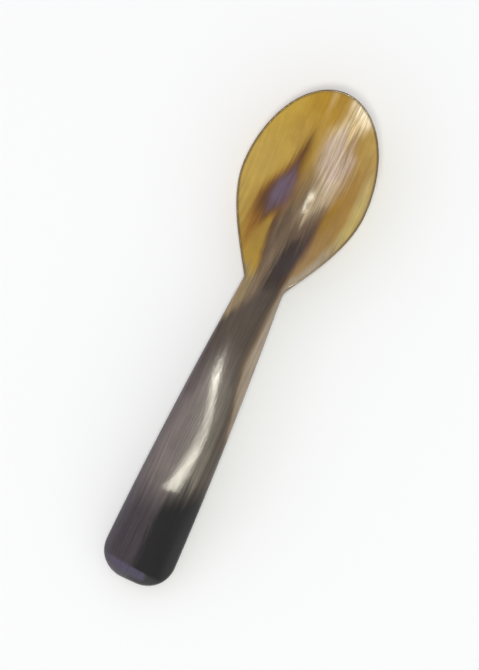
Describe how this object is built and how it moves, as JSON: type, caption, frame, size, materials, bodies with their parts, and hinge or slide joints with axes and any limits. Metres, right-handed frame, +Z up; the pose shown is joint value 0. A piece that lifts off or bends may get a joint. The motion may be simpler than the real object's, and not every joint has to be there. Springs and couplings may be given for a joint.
{
  "type": "horn spoon",
  "caption": "Spoon worked from one piece of horn: a thin see-through egg-shaped bowl and a broad arched handle that narrows to the neck and ends in a filed bevel.",
  "frame": {"origin": "under the middle of the spoon's length and width, on the plane it lies on", "axes": "+X along the spoon from the butt of the handle to the tip of the bowl, +Y to the left seen from the butt, +Z up out of the hollow"},
  "size_m": [0.15, 0.0374, 0.0134],
  "materials": {
    "horn": "polished natural horn, amber and see-through in the bowl, dark grey-brown in the handle, with fine lengthwise scratches"
  },
  "bodies": {
    "root": {"spoon": "horn"}
  },
  "joints": []
}
